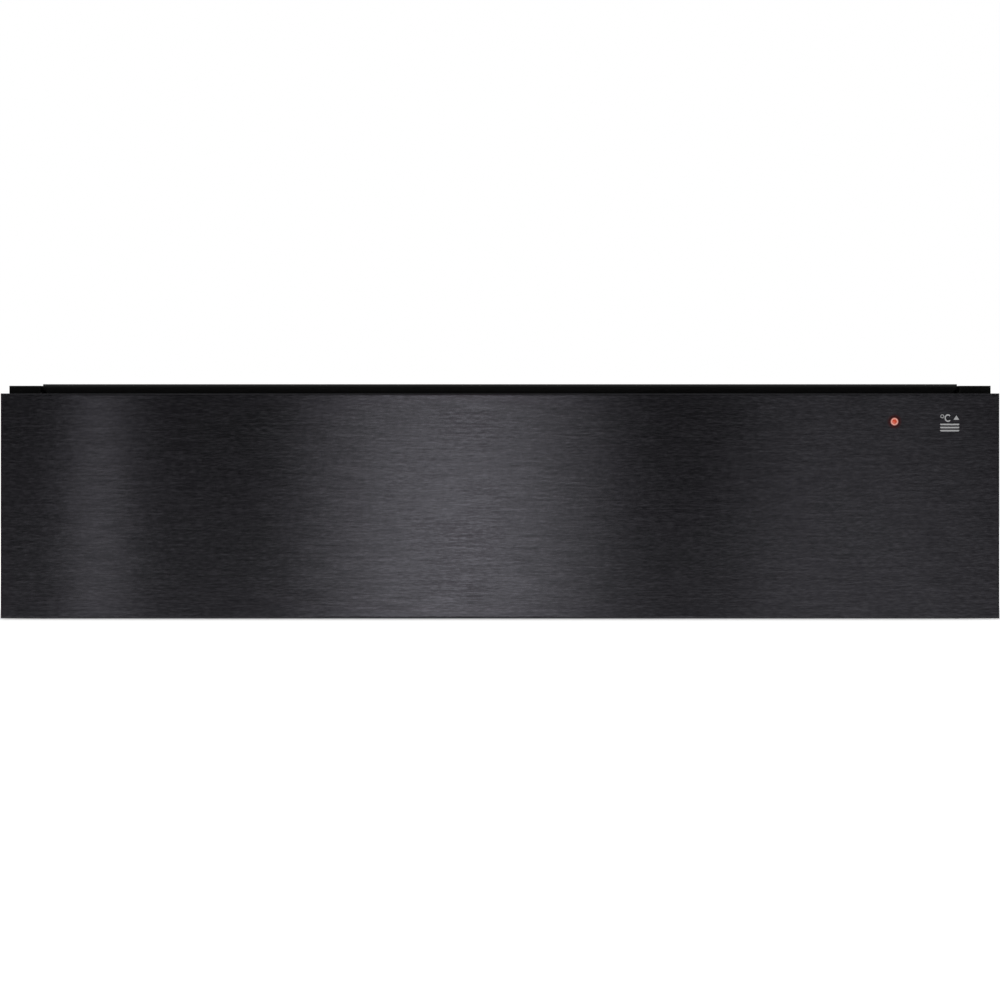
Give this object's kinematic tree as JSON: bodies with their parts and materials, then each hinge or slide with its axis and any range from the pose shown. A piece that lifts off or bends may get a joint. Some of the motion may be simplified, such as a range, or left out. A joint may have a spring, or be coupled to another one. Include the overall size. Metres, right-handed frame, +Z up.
{
  "type": "warming drawer",
  "caption": "Built-in warming drawer with a plain handleless brushed dark steel front, a pilot lamp, a fan-heated box on telescopic slides and a push-to-open latch.",
  "frame": {"origin": "on the shelf that the housing stands on, under the middle of the whole object's box", "axes": "+X to the right seen from the front, +Y towards the back, +Z up; the front panel faces -Y"},
  "size_m": [0.595, 0.5454, 0.14],
  "materials": {
    "black_painted_steel": "satin black powder coat",
    "galvanised_steel": "plain galvanised sheet",
    "dark_brushed_steel": "horizontally brushed dark steel",
    "plain_steel": "plain zinc-plated steel",
    "stainless_steel": "satin stainless steel",
    "grey_painted_steel": "dark grey heat-proof paint",
    "dark_rubber": "matt ribbed rubber",
    "mineral_pad": "bonded mineral fibre",
    "lens_plastic": "clear pinkish plastic",
    "lamp_glass": "orange neon glow",
    "black_plastic": "moulded black plastic",
    "knob_plastic": "moulded dark grey plastic",
    "plunger_plastic": "grey moulded plastic with a magnet in its tip",
    "terminal_plastic": "off-white moulded plastic",
    "heater_steel": "heat-darkened steel tube",
    "ceramic": "white glazed ceramic",
    "fan_aluminium": "pressed aluminium",
    "shaft_steel": "ground steel",
    "laminated_iron": "stacked iron laminations",
    "copper_winding": "enamelled copper wire"
  },
  "bodies": {
    "housing": {"base_tray": "galvanised_steel", "left_side_wall": "black_painted_steel", "right_side_wall": "black_painted_steel", "back_wall": "galvanised_steel", "top_cover": "black_painted_steel", "cable_gland": "black_plastic", "terminal_block": "terminal_plastic", "left_slide_outer": "plain_steel", "right_slide_outer": "plain_steel", "left_latch_body": "black_plastic", "right_latch_body": "black_plastic", "cover_screws": "plain_steel", "back_wall_screws": "plain_steel", "latch_screws": "plain_steel"},
    "right_plunger": {"right_latch_plunger": "plunger_plastic"},
    "left_plunger": {"left_latch_plunger": "plunger_plastic"},
    "drawer": {"drawer_box": "stainless_steel", "non_slip_mat": "dark_rubber", "front_skin": "dark_brushed_steel", "front_tray": "plain_steel", "front_pad": "mineral_pad", "lamp_lens": "lens_plastic", "neon_lamp": "lamp_glass", "lamp_holder": "black_plastic", "air_box": "plain_steel", "heating_element": "heater_steel", "heater_terminals": "ceramic", "air_grille": "grey_painted_steel", "motor_core": "laminated_iron", "motor_coil": "copper_winding", "motor_brackets": "plain_steel", "thermal_cutout": "shaft_steel", "console_shell": "black_plastic", "thermostat_body": "black_plastic", "switch_body": "black_plastic", "left_slide_inner": "plain_steel", "right_slide_inner": "plain_steel", "left_striker_plate": "plain_steel", "right_striker_plate": "plain_steel", "panel_screws": "plain_steel", "grille_screws": "plain_steel"},
    "right_middle_member": {"right_slide_middle": "plain_steel"},
    "left_middle_member": {"left_slide_middle": "plain_steel"},
    "right_outer_cage": {"right_outer_ball_cage": "plain_steel"},
    "left_outer_cage": {"left_outer_ball_cage": "plain_steel"},
    "right_inner_cage": {"right_inner_ball_cage": "plain_steel"},
    "left_inner_cage": {"left_inner_ball_cage": "plain_steel"},
    "fan_rotor": {"fan_wheel": "fan_aluminium", "motor_rotor": "shaft_steel"},
    "temperature_knob": {"thermostat_knob": "knob_plastic", "thermostat_shaft": "shaft_steel"},
    "power_rocker": {"switch_rocker": "knob_plastic"}
  },
  "joints": [
    {"name": "push_latch", "type": "slide", "parent": "housing", "child": "right_plunger", "axis": [0, -1, 0], "range_m": [-0.003, 0.014]},
    {"name": "left_push_latch", "type": "slide", "parent": "housing", "child": "left_plunger", "axis": [0, -1, 0], "range_m": [-0.003, 0.014]},
    {"name": "drawer_slide", "type": "slide", "parent": "right_plunger", "child": "drawer", "axis": [0, -1, 0], "range_m": [0, 0.386]},
    {"name": "right_middle_member_slide", "type": "slide", "parent": "housing", "child": "right_middle_member", "axis": [0, -1, 0], "range_m": [0, 0.1935]},
    {"name": "right_outer_cage_slide", "type": "slide", "parent": "housing", "child": "right_outer_cage", "axis": [0, -1, 0], "range_m": [0, 0.097]},
    {"name": "right_inner_cage_slide", "type": "slide", "parent": "housing", "child": "right_inner_cage", "axis": [0, -1, 0], "range_m": [0, 0.29]},
    {"name": "left_middle_member_slide", "type": "slide", "parent": "housing", "child": "left_middle_member", "axis": [0, -1, 0], "range_m": [0, 0.1935]},
    {"name": "left_outer_cage_slide", "type": "slide", "parent": "housing", "child": "left_outer_cage", "axis": [0, -1, 0], "range_m": [0, 0.097]},
    {"name": "left_inner_cage_slide", "type": "slide", "parent": "housing", "child": "left_inner_cage", "axis": [0, -1, 0], "range_m": [0, 0.29]},
    {"name": "fan_spin", "type": "hinge", "parent": "drawer", "child": "fan_rotor", "pos_m": [0, 0.22465, 0.064], "axis": [0, 1, 0], "continuous": true},
    {"name": "knob_turn", "type": "hinge", "parent": "drawer", "child": "temperature_knob", "pos_m": [0.1575, -0.23155, 0.1215], "axis": [0, 0, -1], "range_deg": [0, 270]},
    {"name": "power_rocker_tilt", "type": "hinge", "parent": "drawer", "child": "power_rocker", "pos_m": [0.2075, -0.23155, 0.121], "axis": [0, 1, 0], "range_deg": [-14, 0]}
  ],
  "couplings": [
    {"joint": "left_push_latch", "follows": "push_latch", "ratio": 1},
    {"joint": "right_middle_member_slide", "follows": "drawer_slide", "ratio": 0.5},
    {"joint": "right_outer_cage_slide", "follows": "drawer_slide", "ratio": 0.25},
    {"joint": "right_inner_cage_slide", "follows": "drawer_slide", "ratio": 0.75},
    {"joint": "left_middle_member_slide", "follows": "drawer_slide", "ratio": 0.5},
    {"joint": "left_outer_cage_slide", "follows": "drawer_slide", "ratio": 0.25},
    {"joint": "left_inner_cage_slide", "follows": "drawer_slide", "ratio": 0.75}
  ]
}
